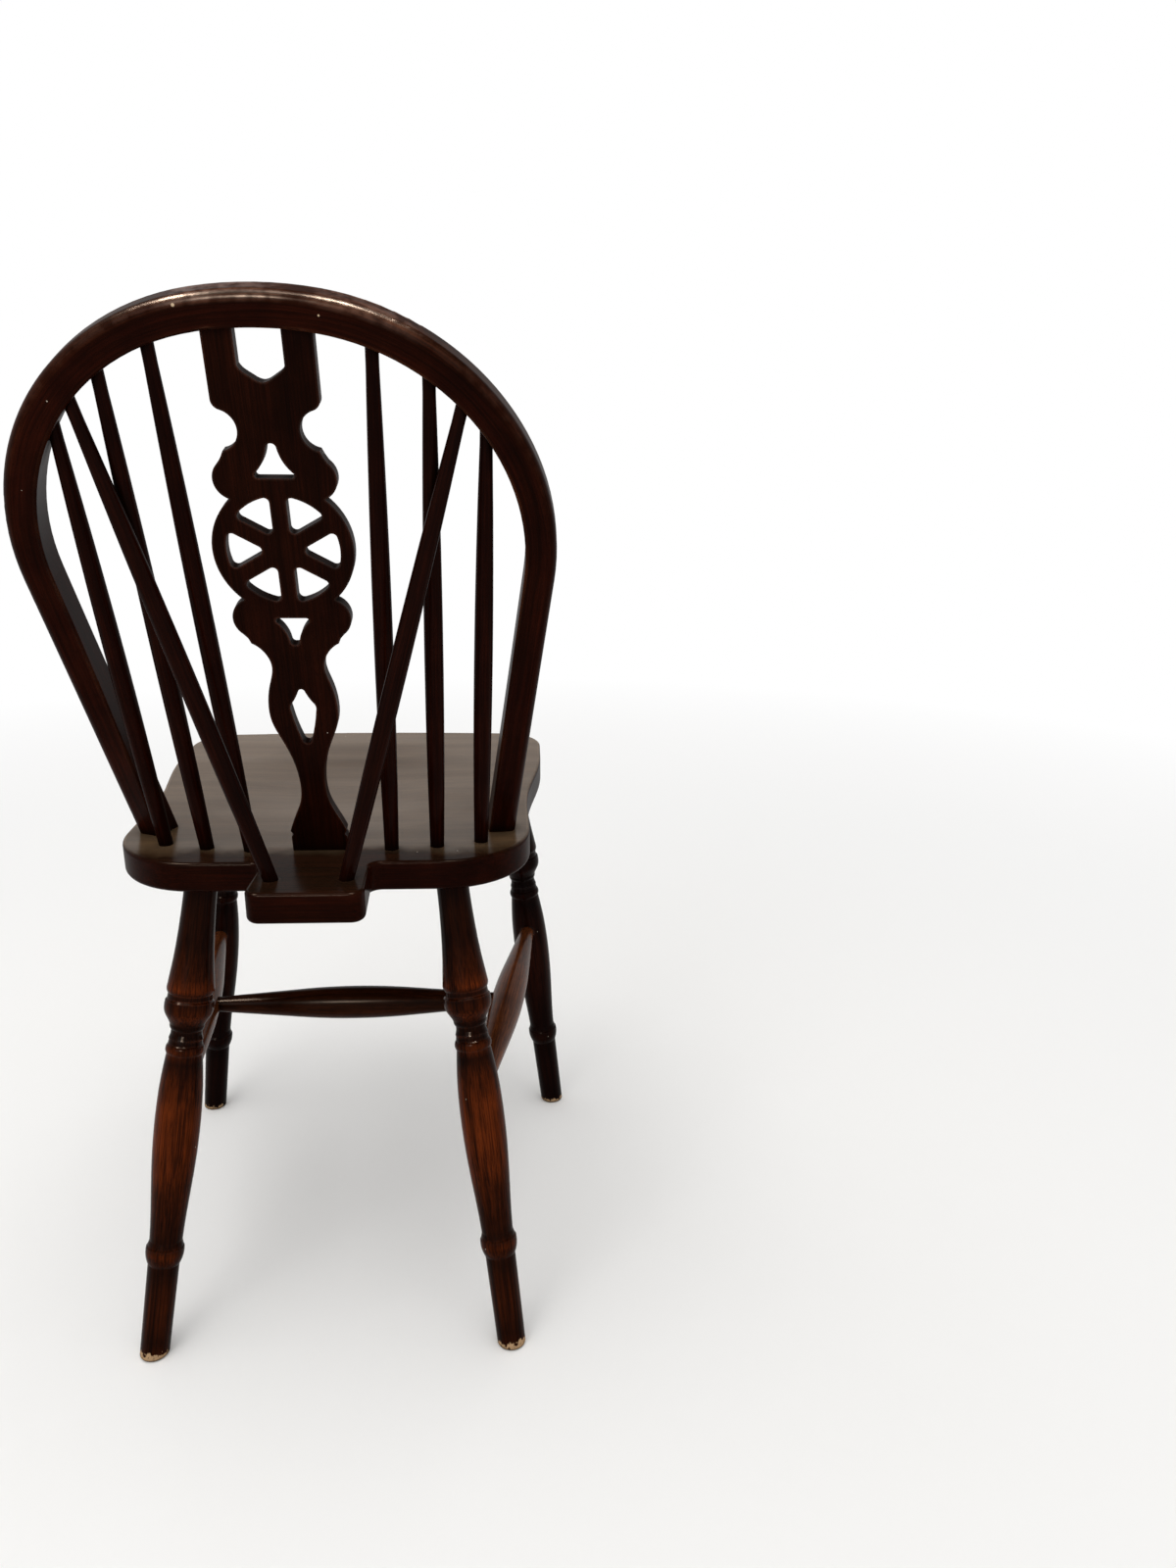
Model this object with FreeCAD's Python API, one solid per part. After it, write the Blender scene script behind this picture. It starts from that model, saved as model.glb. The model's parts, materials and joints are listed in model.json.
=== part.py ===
import FreeCAD, Part
import math
import os
from FreeCAD import Placement, Rotation, Vector

# A wheelback chair in millimetres. It faces -Y, its back is at +Y and it stands on z = 0.
# While it is built, y = 0 is the back face of the splat at the seat. The last step moves the
# origin to the floor under the middle of the chair. Left is +X, the sitter's left.

# Clearances
tenon_gap = 0.1          # round a tenon in its socket
end_gap = 0.4            # between the end of a tenon and the bottom of its socket
cutter_excess = 20.0     # how far a cutter starts outside the piece that it cuts

# Seat, in its own plane: x across and v towards the back, from the foot of the splat
seat_height = 430.0      # top of the seat at the splat, above the floor
seat_slope = 1.5         # degrees that it falls towards the back
seat_thickness = 26.0
seat_rear_edge = 26.5
seat_rear_radius = 72.0
seat_rear_half_width = 172.6
seat_waist_half_width = 172.0
seat_waist_place = 142.0     # in front of the splat
seat_straight_place = 262.0  # from here forward the sides are straight
seat_front_half_width = 184.8
seat_front_radius = 42.0
seat_front_edge = 347.0      # at the front corners, in front of the splat
seat_front_bow = 5.0         # how far the middle of the front edge stands out
tail_half_width = 45.5
tail_neck_half_width = 43.5
tail_length = 62.5           # behind the rear edge
tail_corner_radius = 11.0
tail_notch_radius = 9.0
seat_top_round = 3.0
seat_bottom_round = 4.5
dish_depth = 4.5
dish_radius = 160.0
dish_rise = 0.15             # how far its curve runs out above the seat, so that it fades away
dish_centre = 172.0          # in front of the splat

# Hoop, in its own leaning plane, measured along its centre line
hoop_lean = 22.0             # degrees back from upright
hoop_foot_place = 52.0       # in front of the splat
hoop_foot_half_width = 147.5
hoop_height = 441.4          # along the leaning plane
hoop_side_angle = 7.67       # degrees that each side opens on its way up
hoop_shoulder_radius = 169.3
hoop_top_radius = 248.5
hoop_top_half_angle = 9.2    # degrees of the flatter top arc, each side
hoop_width = 23.0            # in the plane of the hoop
hoop_depth = 25.0            # from front to back
hoop_outer_round = 7.0
hoop_inner_round = 2.0
hoop_twist_left = 26.0       # degrees that a foot is turned, inner face towards the back
hoop_twist_right = 6.0
hoop_tenon_radius = 9.0
wedge_length = 15.0
wedge_width = 14.0
wedge_thick_end = 3.2
wedge_thin_end = 1.0

# Sticks: half distance apart at the seat, place behind the splat, half distance at the hoop
stick_places = {
    "outer": (131.3, -17.8, 145.0),
    "middle": (95.0, -8.0, 108.0),
    "inner": (57.7, -2.5, 72.2),
}
brace_place = (29.3, 60.6, 132.6)
stick_foot_radius = 5.8
stick_swell_radius = 7.2
stick_top_radius = 4.5
stick_swell_share = 0.34     # of the stick's length, up from the seat
stick_straight_top = 26.0    # the end that goes into the hoop
stick_socket_depth = 10.0

# Splat, in its own leaning plane: x across, s up from the seat
splat_thickness = 9.0
splat_tenon_depth = 11.0
splat_foot_half_width = 22.6
splat_foot_height = 15.0
splat_head_half_width = 35.8
splat_wheel_height = 263.2
splat_wheel_radius = 49.6
splat_rim = 9.9
splat_spoke_width = 11.6
splat_spokes = 6
splat_hole_round = 3.6
splat_notch_rise = 37.5      # from the wheel's centre to the notches that divide it from the lobes
splat_slot_half_width = 15.4
splat_prong_tenon = 9.0
splat_head_height = 368.6
splat_slot_height = 390.0    # where the slot's straight sides end

# Fretted outline of the splat's right half, as (x, s), from the foot up
splat_nick = [(20.8, 17.5), (22.8, 21.0)]
splat_stem = [(17.3, 34.7), (11.2, 51.0), (9.8, 67.0), (12.2, 86.0), (19.0, 107.0), (25.2, 124.0),
              (26.1, 138.0), (23.0, 156.0), (19.5, 172.5), (23.0, 182.5), (32.0, 190.8)]
splat_lower_step = [(33.8, 195.0), (36.8, 198.4)]
splat_lower_lobe = [(42.8, 210.5)]
splat_upper_lobe = [(42.2, 315.0), (36.8, 326.2)]
splat_upper_step = [(34.3, 330.2), (32.4, 334.2)]
splat_scoop = [(20.9, 348.6), (31.0, 361.6)]
splat_shoulder = [(34.6, 364.3)]
splat_slot_floor = [(12.6, 386.4), (8.0, 383.2), (3.4, 380.3), (0.0, 379.4)]

# Right halves of the three small holes on the splat's centre line: above and below the wheel,
# and the drop in the stem. Each part starts where the one before it ends.
upper_hole_base = [(0.0, 315.4), (11.6, 315.4)]
upper_hole_corner = [(13.5, 317.0), (12.5, 319.4)]
upper_hole_side = [(6.4, 327.6), (3.5, 336.6)]
upper_hole_tip = [(2.4, 338.6), (0.0, 339.5)]
lower_hole_base = [(0.0, 211.2), (10.2, 211.2)]
lower_hole_corner = [(12.0, 209.8), (10.8, 207.2)]
lower_hole_side = [(5.2, 199.0), (3.3, 192.0)]
lower_hole_tip = [(2.4, 190.0), (0.0, 189.3)]
drop_top = [(0.0, 152.4), (1.6, 151.8), (2.6, 150.2)]
drop_shoulder = [(4.6, 145.8), (8.4, 139.9)]
drop_corner = [(9.6, 137.0), (9.4, 133.6)]
drop_side = [(6.6, 118.8), (3.2, 107.0)]
drop_tip = [(2.0, 105.0), (0.0, 104.2)]

# Legs: foot on the floor and place under the seat, as half distance apart and y
back_foot = (153.7, 81.2)
back_top = (104.5, -20.9)
front_foot = (197.6, -306.5)
front_top = (149.8, -303.9)
leg_top_radius = 13.8
leg_socket_depth = 11.5
foot_round = 2.2
leg_swell_radius = 18.7      # where the stretchers enter
leg_bell_height = 398.0      # where the bell runs out into the straight top

# Turned pattern of a leg from the foot up, as (height, radius). Each part starts where the one
# before it ends.
leg_foot_taper = [(-15.0, 12.0), (80.0, 13.1)]
leg_ring_round = [(89.0, 15.8), (95.0, 15.8)]
leg_ring_edge = [(96.5, 14.8), (101.0, 13.6)]
leg_vase = [(128.0, 15.1), (149.0, 16.7), (175.0, 18.3), (205.0, 18.9), (233.0, 18.0), (250.0, 16.5),
            (263.5, 14.8)]
leg_collar = [(267.5, 16.0), (271.0, 15.0)]
leg_cone = [(271.8, 14.4), (276.0, 13.7), (276.6, 14.2), (280.5, 13.0), (284.0, 12.8)]
leg_bead = [(286.6, 14.2), (289.0, 14.4)]
leg_ball = [(293.5, 16.6), (299.0, 19.6), (304.5, 20.4), (309.5, 20.0)]
leg_groove = [(311.0, 18.6), (315.5, 18.2)]
leg_lip = [(317.5, 19.3), (321.0, 19.6)]
leg_bell = [(330.0, 18.5), (343.6, 16.9), (364.0, 15.2)]
stretcher_front_height = 225.0   # up the front legs from the foot
stretcher_back_height = 220.5    # and up the back legs

# Stretchers
stretcher_end_radius = 7.4
stretcher_middle_radius = 15.9
stretcher_taper_share = 0.3  # straight taper at each end, as a share of the length
stretcher_tenon_depth = 11.0

X_AXIS = Vector(1, 0, 0)
Z_AXIS = Vector(0, 0, 1)


def line(points):
    """Straight edges through the points."""
    return [Part.makeLine(a, b) for a, b in zip(points, points[1:])]


def arc(start, middle, end):
    return Part.Arc(start, middle, end).toShape()


def curve(points, start_direction=None, end_direction=None):
    """A smooth curve through the points."""
    spline = Part.BSplineCurve()
    if start_direction is None:
        spline.interpolate(points)
    else:
        spline.interpolate(points, InitialTangent=start_direction, FinalTangent=end_direction)
    return spline.toShape()


def mirrored(edges):
    return [edge.mirror(Vector(0, 0, 0), X_AXIS) for edge in edges]


def closed_face(edges):
    return Part.Face(Part.Wire(Part.__sortEdges__(edges)))


def along(start, end):
    """A placement whose Z axis runs from start to end."""
    return Placement(start, Rotation(Z_AXIS, end - start))


def rod(start, end, radius):
    return Part.makeCylinder(radius, (end - start).Length, start, end - start)


def toward(start, end, distance):
    """The point at this distance from start on the way to end."""
    return start + (end - start).normalize() * distance


def turned(outline, start, end):
    """A solid of revolution. The outline's x is the radius and its z the distance from start."""
    first = outline[0].Vertexes[0].Point
    last = outline[-1].Vertexes[-1].Point
    closing = line([last, Vector(0, 0, last.z), Vector(0, 0, first.z), first])
    solid = closed_face(outline + closing).revolve(Vector(0, 0, 0), Z_AXIS, 360)
    solid.Placement = along(start, end)
    return solid


# Frames of the leaning planes
seat_frame = Placement(Vector(0, 0, seat_height), Rotation(X_AXIS, -seat_slope))


def on_seat(x, v, depth=0.0):
    """A point of the seat, at a depth below its top."""
    return seat_frame.multVec(Vector(x, v, -depth))


hoop_frame = Placement(on_seat(0, -hoop_foot_place), Rotation(X_AXIS, 90 - hoop_lean))


def hoop_arcs():
    """Centres and joins of the hoop's centre line on its +x side."""
    join_angle = math.radians(hoop_top_half_angle)
    side_angle = math.radians(hoop_side_angle)
    top_centre = Vector(0, hoop_height - hoop_top_radius, 0)
    outward = Vector(math.sin(join_angle), math.cos(join_angle), 0)
    join = top_centre + outward * hoop_top_radius
    shoulder_centre = join - outward * hoop_shoulder_radius
    side_out = Vector(math.cos(side_angle), -math.sin(side_angle), 0)
    side_join = shoulder_centre + side_out * hoop_shoulder_radius
    return top_centre, join, shoulder_centre, side_join


def hoop_centre(x):
    """The point of the upper hoop's centre line at this x."""
    top_centre, join, shoulder_centre, side_join = hoop_arcs()
    centre, radius = shoulder_centre, hoop_shoulder_radius
    if abs(x) < join.x:
        centre, radius = top_centre, hoop_top_radius
    rise = math.sqrt(radius ** 2 - (abs(x) - centre.x) ** 2)
    return hoop_frame.multVec(Vector(x, centre.y + rise, 0))


# The splat stands between the seat and the middle of the hoop's top
splat_foot = on_seat(0, -splat_thickness / 2)
splat_top = hoop_centre(0)
splat_lean = math.degrees(math.atan2(splat_top.y - splat_foot.y, splat_top.z - splat_foot.z))
splat_length = (splat_top - splat_foot).Length
splat_frame = Placement(splat_foot, Rotation(X_AXIS, 90 - splat_lean))


def stick_line(place):
    """Where a stick meets the seat and the hoop's centre line."""
    foot_x, foot_v, top_x = place
    return on_seat(foot_x, foot_v), hoop_centre(top_x)


def stick_places_all():
    """Every stick and brace by node name, with its mirrored partner."""
    places = {f"stick_{name}": place for name, place in stick_places.items()}
    places["brace_stick"] = brace_place
    both = {}
    for name, (foot_x, foot_v, top_x) in places.items():
        both[name + "_left"] = (foot_x, foot_v, top_x)
        both[name + "_right"] = (-foot_x, foot_v, -top_x)
    return both


def leg_lines():
    """Foot point and underside point of each leg by node name."""
    places = {}
    for name, foot, top in (("front", front_foot, front_top), ("back", back_foot, back_top)):
        for side, sign in (("left", 1), ("right", -1)):
            under = on_seat(sign * top[0], top[1], seat_thickness)
            places[f"leg_{name}_{side}"] = (Vector(sign * foot[0], foot[1], 0), under)
    return places


def hoop_section(point, outward, twist=0.0):
    """A rounded section of the hoop. Its outer corners are the rounder ones."""
    half_width = hoop_width / 2
    half_depth = hoop_depth / 2
    slant = math.sqrt(0.5)

    def corner(x_sign, z_sign, radius):
        centre = Vector(x_sign * (half_width - radius), 0, z_sign * (half_depth - radius))
        on_face = centre + Vector(0, 0, z_sign * radius)
        on_side = centre + Vector(x_sign * radius, 0, 0)
        middle = centre + Vector(x_sign * slant * radius, 0, z_sign * slant * radius)
        return on_face, middle, on_side

    a = corner(1, 1, hoop_outer_round)
    b = corner(1, -1, hoop_outer_round)
    c = corner(-1, -1, hoop_inner_round)
    d = corner(-1, 1, hoop_inner_round)
    edges = [arc(*a), Part.makeLine(a[2], b[2]), arc(*b), Part.makeLine(b[0], c[0])]
    edges += [arc(*c), Part.makeLine(c[2], d[2]), arc(*d), Part.makeLine(d[0], a[0])]
    wire = Part.Wire(Part.__sortEdges__(edges))
    turn = math.degrees(math.atan2(outward.y, outward.x))
    wire.Placement = Placement(point, Rotation(Z_AXIS, turn) * Rotation(Vector(0, 1, 0), twist))
    return wire


def hoop_side(side_sign):
    """A straight side of the hoop, which turns more and more towards its foot."""
    full_twist = hoop_twist_left if side_sign > 0 else hoop_twist_right
    centre, side_join = hoop_arcs()[2:]
    outward = side_join - centre
    outward.x *= side_sign
    foot = Vector(hoop_foot_half_width, 0, 0)
    below = toward(foot, side_join, -seat_thickness)
    sections = []
    steps = 8
    for i in range(steps + 1):
        point = below + (side_join - below) * (i / steps)
        point.x *= side_sign
        sections.append(hoop_section(point, outward, -full_twist * (1 - i / steps) ** 2))
    return Part.makeLoft(sections, True, False)


def hoop_bend():
    """The bent part of the hoop: two shoulders and the flatter top between them."""
    top_centre, join, shoulder_centre, side_join = hoop_arcs()
    shoulder_angle = 90 - hoop_top_half_angle + hoop_side_angle
    section = Part.Face(hoop_section(side_join, side_join - shoulder_centre))
    shoulder = section.revolve(shoulder_centre, Z_AXIS, shoulder_angle)
    section = Part.Face(hoop_section(join, join - top_centre))
    top = section.revolve(top_centre, Z_AXIS, 2 * hoop_top_half_angle)
    return [shoulder, top, shoulder.mirror(Vector(0, 0, 0), X_AXIS)]


def hoop_tenon(side_sign):
    """Start and end of a hoop tenon: from the hoop's foot to the underside of the seat."""
    side_join = hoop_arcs()[3]
    foot = Vector(side_sign * hoop_foot_half_width, 0, 0)
    upper = Vector(side_sign * side_join.x, side_join.y, 0)
    start = hoop_frame.multVec(foot)
    direction = (start - hoop_frame.multVec(upper)).normalize()
    seat_up = seat_frame.Rotation.multVec(Z_AXIS)
    return start, start + direction * (seat_thickness / -direction.dot(seat_up))


def seat_slab(top, bottom):
    """A wide slab in the seat's frame, between two heights above the seat's top."""
    reach = seat_front_edge + tail_length
    slab = Part.makeBox(2 * reach, 2 * reach, top - bottom, Vector(-reach, -reach, bottom))
    slab.Placement = seat_frame
    return slab


def wedge(side_sign, gap=0.0):
    """The wedge in the split end of a hoop tenon, or its slot with a gap all round."""
    start, end = hoop_tenon(side_sign)
    thick = wedge_thick_end / 2 + gap
    thin = wedge_thin_end / 2 + gap
    tip = wedge_length + gap
    below = wedge_thick_end
    grown = thick + (thick - thin) * below / wedge_length
    corners = [Vector(0, -grown, -below), Vector(0, -thin, tip)]
    corners += [Vector(0, thin, tip), Vector(0, grown, -below)]
    face = Part.Face(Part.makePolygon(corners + corners[:1]))
    solid = face.extrude(Vector(wedge_width + 2 * gap, 0, 0))
    solid.translate(Vector(-wedge_width / 2 - gap, 0, 0))
    solid.Placement = along(end, start).multiply(solid.Placement)
    if gap:
        return solid
    return solid.cut(seat_slab(-seat_thickness, -seat_thickness - cutter_excess))


def stick_socket(place, at_seat):
    """The drilled hole for one end of a stick."""
    foot, top = stick_line(place)
    length = (top - foot).Length
    if at_seat:
        bottom = toward(top, foot, length + stick_socket_depth + end_gap)
        return rod(bottom, toward(foot, top, cutter_excess), stick_foot_radius + tenon_gap)
    bottom = toward(foot, top, length + end_gap)
    return rod(toward(top, foot, 2 * hoop_width), bottom, stick_top_radius + tenon_gap)


def splat_socket_box(x_from, x_to, s_from, s_to):
    """A mortise round a part of the splat."""
    thickness = splat_thickness + 2 * tenon_gap
    corner = Vector(x_from - tenon_gap, s_from, -thickness / 2)
    box = Part.makeBox(x_to - x_from + 2 * tenon_gap, s_to - s_from, thickness, corner)
    box.Placement = splat_frame
    return box


def splat_prong_top():
    return splat_length - hoop_width / 2 + splat_prong_tenon


def make_hoop():
    solid = hoop_side(1).fuse(hoop_bend() + [hoop_side(-1)])
    solid.Placement = hoop_frame
    solid = solid.cut(seat_slab(0, -3 * seat_thickness))
    for side_sign in (1, -1):
        start, end = hoop_tenon(side_sign)
        inside = toward(start, end, -cutter_excess)
        solid = solid.fuse(rod(inside, end + (end - start), hoop_tenon_radius))
    solid = solid.cut(seat_slab(-seat_thickness, -3 * seat_thickness))
    cutters = [wedge(side_sign, tenon_gap) for side_sign in (1, -1)]
    cutters += [stick_socket(place, False) for place in stick_places_all().values()]
    for sign in (1, -1):
        inner, outer = sorted((sign * splat_slot_half_width, sign * splat_head_half_width))
        top = splat_prong_top() + end_gap
        cutters.append(splat_socket_box(inner, outer, top - 2 * hoop_width, top))
    return solid.cut(cutters)


def seat_outline():
    """The edges of the seat's outline for x > 0, in the seat's plane, from the tail round to the front."""
    tail_end = seat_rear_edge + tail_length
    turn = math.sqrt(0.5)
    corner = Vector(tail_half_width - tail_corner_radius, tail_end - tail_corner_radius, 0)
    notch = Vector(tail_neck_half_width + tail_notch_radius, seat_rear_edge + tail_notch_radius, 0)
    rear = Vector(seat_rear_half_width - seat_rear_radius, seat_rear_edge - seat_rear_radius, 0)
    front = Vector(seat_front_half_width - seat_front_radius, seat_front_radius - seat_front_edge, 0)
    right = Vector(1, 0, 0)
    back = Vector(0, 1, 0)
    tail_side_top = corner + right * tail_corner_radius
    notch_start = notch - right * tail_notch_radius
    notch_end = notch - back * tail_notch_radius
    rear_start = rear + back * seat_rear_radius
    rear_end = rear + right * seat_rear_radius
    front_start = front + right * seat_front_radius
    front_end = front - back * seat_front_radius
    waist = Vector(seat_waist_half_width, -seat_waist_place, 0)
    straight = Vector(seat_front_half_width, -seat_straight_place, 0)
    tail_corner_middle = corner + Vector(turn, turn, 0) * tail_corner_radius
    notch_middle = notch - Vector(turn, turn, 0) * tail_notch_radius
    rear_middle = rear + Vector(turn, turn, 0) * seat_rear_radius
    front_middle = front + Vector(turn, -turn, 0) * seat_front_radius
    edges = [Part.makeLine(Vector(0, tail_end, 0), corner + back * tail_corner_radius)]
    edges += [arc(corner + back * tail_corner_radius, tail_corner_middle, tail_side_top)]
    edges += [Part.makeLine(tail_side_top, notch_start)]
    edges += [arc(notch_start, notch_middle, notch_end)]
    edges += [Part.makeLine(notch_end, rear_start)]
    edges += [arc(rear_start, rear_middle, rear_end)]
    edges += [curve([rear_end, waist, straight], -back, -back)]
    edges += [Part.makeLine(straight, front_start)]
    edges += [arc(front_start, front_middle, front_end)]
    return edges, front_end


def dish():
    """The cutter for the hollow of the seat. Its curve is level in the middle and at its rim."""
    middle = Vector(0, 0, -dish_depth)
    rim = Vector(dish_radius, 0, dish_rise)
    hollow = Part.BezierCurve()
    half = Vector(dish_radius / 2, 0, 0)
    hollow.setPoles([middle, middle + half, rim - half, rim])
    above = Vector(0, 0, seat_thickness)
    edges = [hollow.toShape()] + line([rim, rim + above, above + Z_AXIS * dish_rise, middle])
    solid = closed_face(edges).revolve(Vector(0, 0, 0), Z_AXIS, 360)
    solid.translate(Vector(0, -dish_centre, 0))
    return solid


def make_seat():
    edges, front_end = seat_outline()
    bow = Vector(0, -seat_front_edge - seat_front_bow, 0)
    front = arc(front_end, bow, Vector(-front_end.x, front_end.y, 0))
    board = closed_face(edges + [front] + mirrored(edges)).extrude(Vector(0, 0, -seat_thickness))
    top_edges = [e for e in board.Edges if min(v.Z for v in e.Vertexes) > -0.01]
    board = board.makeFillet(seat_top_round, top_edges)
    bottom_edges = [e for e in board.Edges if max(v.Z for v in e.Vertexes) < 0.01 - seat_thickness]
    board = board.makeFillet(seat_bottom_round, bottom_edges)
    board = board.cut(dish())
    board.Placement = seat_frame
    cutters = [stick_socket(place, True) for place in stick_places_all().values()]
    for side_sign in (1, -1):
        start, end = hoop_tenon(side_sign)
        past = end - start
        cutters.append(rod(start - past, end + past, hoop_tenon_radius + tenon_gap))
    for foot, under in leg_lines().values():
        length = (under - foot).Length
        inside = toward(foot, under, length + leg_socket_depth + end_gap)
        outside = toward(under, foot, cutter_excess)
        cutters.append(rod(outside, inside, leg_top_radius + tenon_gap))
    half = splat_foot_half_width
    cutters.append(splat_socket_box(-half, half, -splat_tenon_depth - end_gap, cutter_excess))
    return board.cut(cutters)


def points_of(*parts):
    """Points in a flat drawing. Each pair is an x and a height."""
    return [Vector(x, s, 0) for part in parts for x, s in part]


def splat_outline():
    """The edges of the splat's outline for x > 0, from the foot up."""
    foot = splat_foot_half_width
    head = splat_head_half_width
    wheel = splat_wheel_height
    rise = splat_notch_rise
    notch_x = math.sqrt(splat_wheel_radius ** 2 - rise ** 2)
    top = splat_prong_top()
    foot_corner = [(foot, splat_foot_height)]
    lower_notch = [(notch_x, wheel - rise)]
    upper_notch = [(notch_x, wheel + rise)]
    wheel_side = [(splat_wheel_radius, wheel)]
    head_corner = [(head, splat_head_height)]
    edges = line(points_of([(0, -splat_tenon_depth), (foot, -splat_tenon_depth)], foot_corner))
    edges += line(points_of(foot_corner, splat_nick))
    edges += [curve(points_of(splat_nick[-1:], splat_stem))]
    edges += line(points_of(splat_stem[-1:], splat_lower_step))
    edges += [arc(*points_of(splat_lower_step[-1:], splat_lower_lobe, lower_notch))]
    edges += [arc(*points_of(lower_notch, wheel_side, upper_notch))]
    edges += [arc(*points_of(upper_notch, splat_upper_lobe))]
    edges += line(points_of(splat_upper_lobe[-1:], splat_upper_step))
    edges += [arc(*points_of(splat_upper_step[-1:], splat_scoop))]
    edges += [arc(*points_of(splat_scoop[-1:], splat_shoulder, head_corner))]
    edges += line(points_of(head_corner, [(head, top), (0, top)]))
    return edges


def pierced(edges):
    """A cutter for a hole that is the same on both sides of the splat's centre line."""
    hole = closed_face(edges + mirrored(edges)).extrude(Vector(0, 0, 2 * splat_thickness))
    hole.translate(Vector(0, 0, -splat_thickness))
    return hole


def wheel_hole():
    """The rounded hole between two spokes of the wheel, pointing along +x from the hub."""
    half_spoke = splat_spoke_width / 2
    rim_radius = splat_wheel_radius - splat_rim
    half_angle = math.pi / splat_spokes
    reach = half_angle - math.asin(half_spoke / rim_radius)
    apex = Vector(half_spoke / math.sin(half_angle), 0, 0)
    upper = Vector(rim_radius * math.cos(reach), rim_radius * math.sin(reach), 0)
    lower = Vector(upper.x, -upper.y, 0)
    edges = line([lower, apex, upper]) + [arc(upper, Vector(rim_radius, 0, 0), lower)]
    hole = closed_face(edges).extrude(Vector(0, 0, 2 * splat_thickness))
    upright = [e for e in hole.Edges if abs(e.tangentAt(e.FirstParameter).z) > 0.99]
    hole = hole.makeFillet(splat_hole_round, upright)
    hole.translate(Vector(0, 0, -splat_thickness))
    return hole


def small_hole(base, corner, side, tip):
    """Half the outline of a small hole with a flat base."""
    edges = line(points_of(base))
    edges += [arc(*points_of(base[-1:], corner))]
    edges += [curve(points_of(corner[-1:], side))]
    edges += [arc(*points_of(side[-1:], tip))]
    return edges


def splat_cutters():
    top = splat_prong_top() + cutter_excess
    slot_side = [(splat_slot_half_width, splat_slot_height)]
    slot = line(points_of([(0, top), (splat_slot_half_width, top)], slot_side))
    slot += [curve(points_of(slot_side, splat_slot_floor))]
    upper = small_hole(upper_hole_base, upper_hole_corner, upper_hole_side, upper_hole_tip)
    lower = small_hole(lower_hole_base, lower_hole_corner, lower_hole_side, lower_hole_tip)
    drop = [arc(*points_of(drop_top))]
    drop += [curve(points_of(drop_top[-1:], drop_shoulder))]
    drop += [arc(*points_of(drop_shoulder[-1:], drop_corner))]
    drop += [curve(points_of(drop_corner[-1:], drop_side))]
    drop += [arc(*points_of(drop_side[-1:], drop_tip))]
    cutters = [pierced(edges) for edges in (slot, upper, lower, drop)]
    for i in range(splat_spokes):
        hole = wheel_hole()
        hole.rotate(Vector(0, 0, 0), Z_AXIS, i * 360 / splat_spokes)
        hole.translate(Vector(0, splat_wheel_height, 0))
        cutters.append(hole)
    return cutters


def make_splat():
    edges = splat_outline()
    board = closed_face(edges + mirrored(edges)).extrude(Vector(0, 0, splat_thickness))
    board.translate(Vector(0, 0, -splat_thickness / 2))
    board = board.cut(splat_cutters())
    board.Placement = splat_frame
    return board


def make_stick(place):
    foot, top = stick_line(place)
    length = (top - foot).Length
    swell = Vector(stick_swell_radius, 0, stick_swell_share * length)
    low = Vector(stick_foot_radius, 0, 0)
    high = Vector(stick_top_radius, 0, length - stick_straight_top)
    outline = line([Vector(stick_foot_radius, 0, -stick_socket_depth), low])
    outline += [curve([low, swell, high])]
    outline += line([high, Vector(stick_top_radius, 0, length)])
    return turned(outline, foot, top)


def leg_outline(top):
    """The turned outline of a leg. Heights go up from the foot, and top is the end of its tenon."""
    def at(*parts):
        return [Vector(radius, 0, height) for part in parts for height, radius in part]

    bell_end = [(leg_bell_height, leg_top_radius)]
    edges = line(at(leg_foot_taper))
    edges += [arc(*at(leg_foot_taper[-1:], leg_ring_round))]
    edges += line(at(leg_ring_round[-1:], leg_ring_edge))
    edges += [curve(at(leg_ring_edge[-1:], leg_vase))]
    edges += [arc(*at(leg_vase[-1:], leg_collar))]
    edges += line(at(leg_collar[-1:], leg_cone))
    edges += [arc(*at(leg_cone[-1:], leg_bead))]
    edges += [curve(at(leg_bead[-1:], leg_ball))]
    edges += line(at(leg_ball[-1:], leg_groove))
    edges += [arc(*at(leg_groove[-1:], leg_lip))]
    edges += [curve(at(leg_lip[-1:], leg_bell, bell_end))]
    edges += line(at(bell_end, [(top, leg_top_radius)]))
    return edges


def stretcher_point(leg_name):
    foot, under = leg_lines()[leg_name]
    height = stretcher_front_height if "front" in leg_name else stretcher_back_height
    return toward(foot, under, height)


def cross_points():
    """Where the cross stretcher's line meets the side stretchers' centre lines."""
    left = (stretcher_point("leg_front_left") + stretcher_point("leg_back_left")) * 0.5
    return left, Vector(-left.x, left.y, left.z)


def stretcher_reach(radius):
    """How far a tenon's end stays from the centre line of the piece that holds it."""
    return radius - stretcher_tenon_depth


def make_stretcher(start, end, held_radius):
    """A swelling stretcher between two points on the centre lines of the pieces that hold it."""
    reach = stretcher_reach(held_radius)
    first = toward(start, end, reach)
    last = toward(end, start, reach)
    length = (last - first).Length
    straight = stretcher_tenon_depth + 1.5
    body = length - 2 * straight
    taper = body * stretcher_taper_share
    crown = body / 2 - taper
    swell = stretcher_middle_radius - stretcher_end_radius
    taper_radius = stretcher_middle_radius - swell * crown / (2 * taper + crown)
    near = [Vector(stretcher_end_radius, 0, 0), Vector(stretcher_end_radius, 0, straight)]
    near += [Vector(taper_radius, 0, straight + taper)]
    far = [Vector(point.x, 0, length - point.z) for point in reversed(near)]
    middle = Vector(stretcher_middle_radius, 0, length / 2)
    return turned(line(near) + [arc(near[-1], middle, far[0])] + line(far), first, last)


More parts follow.
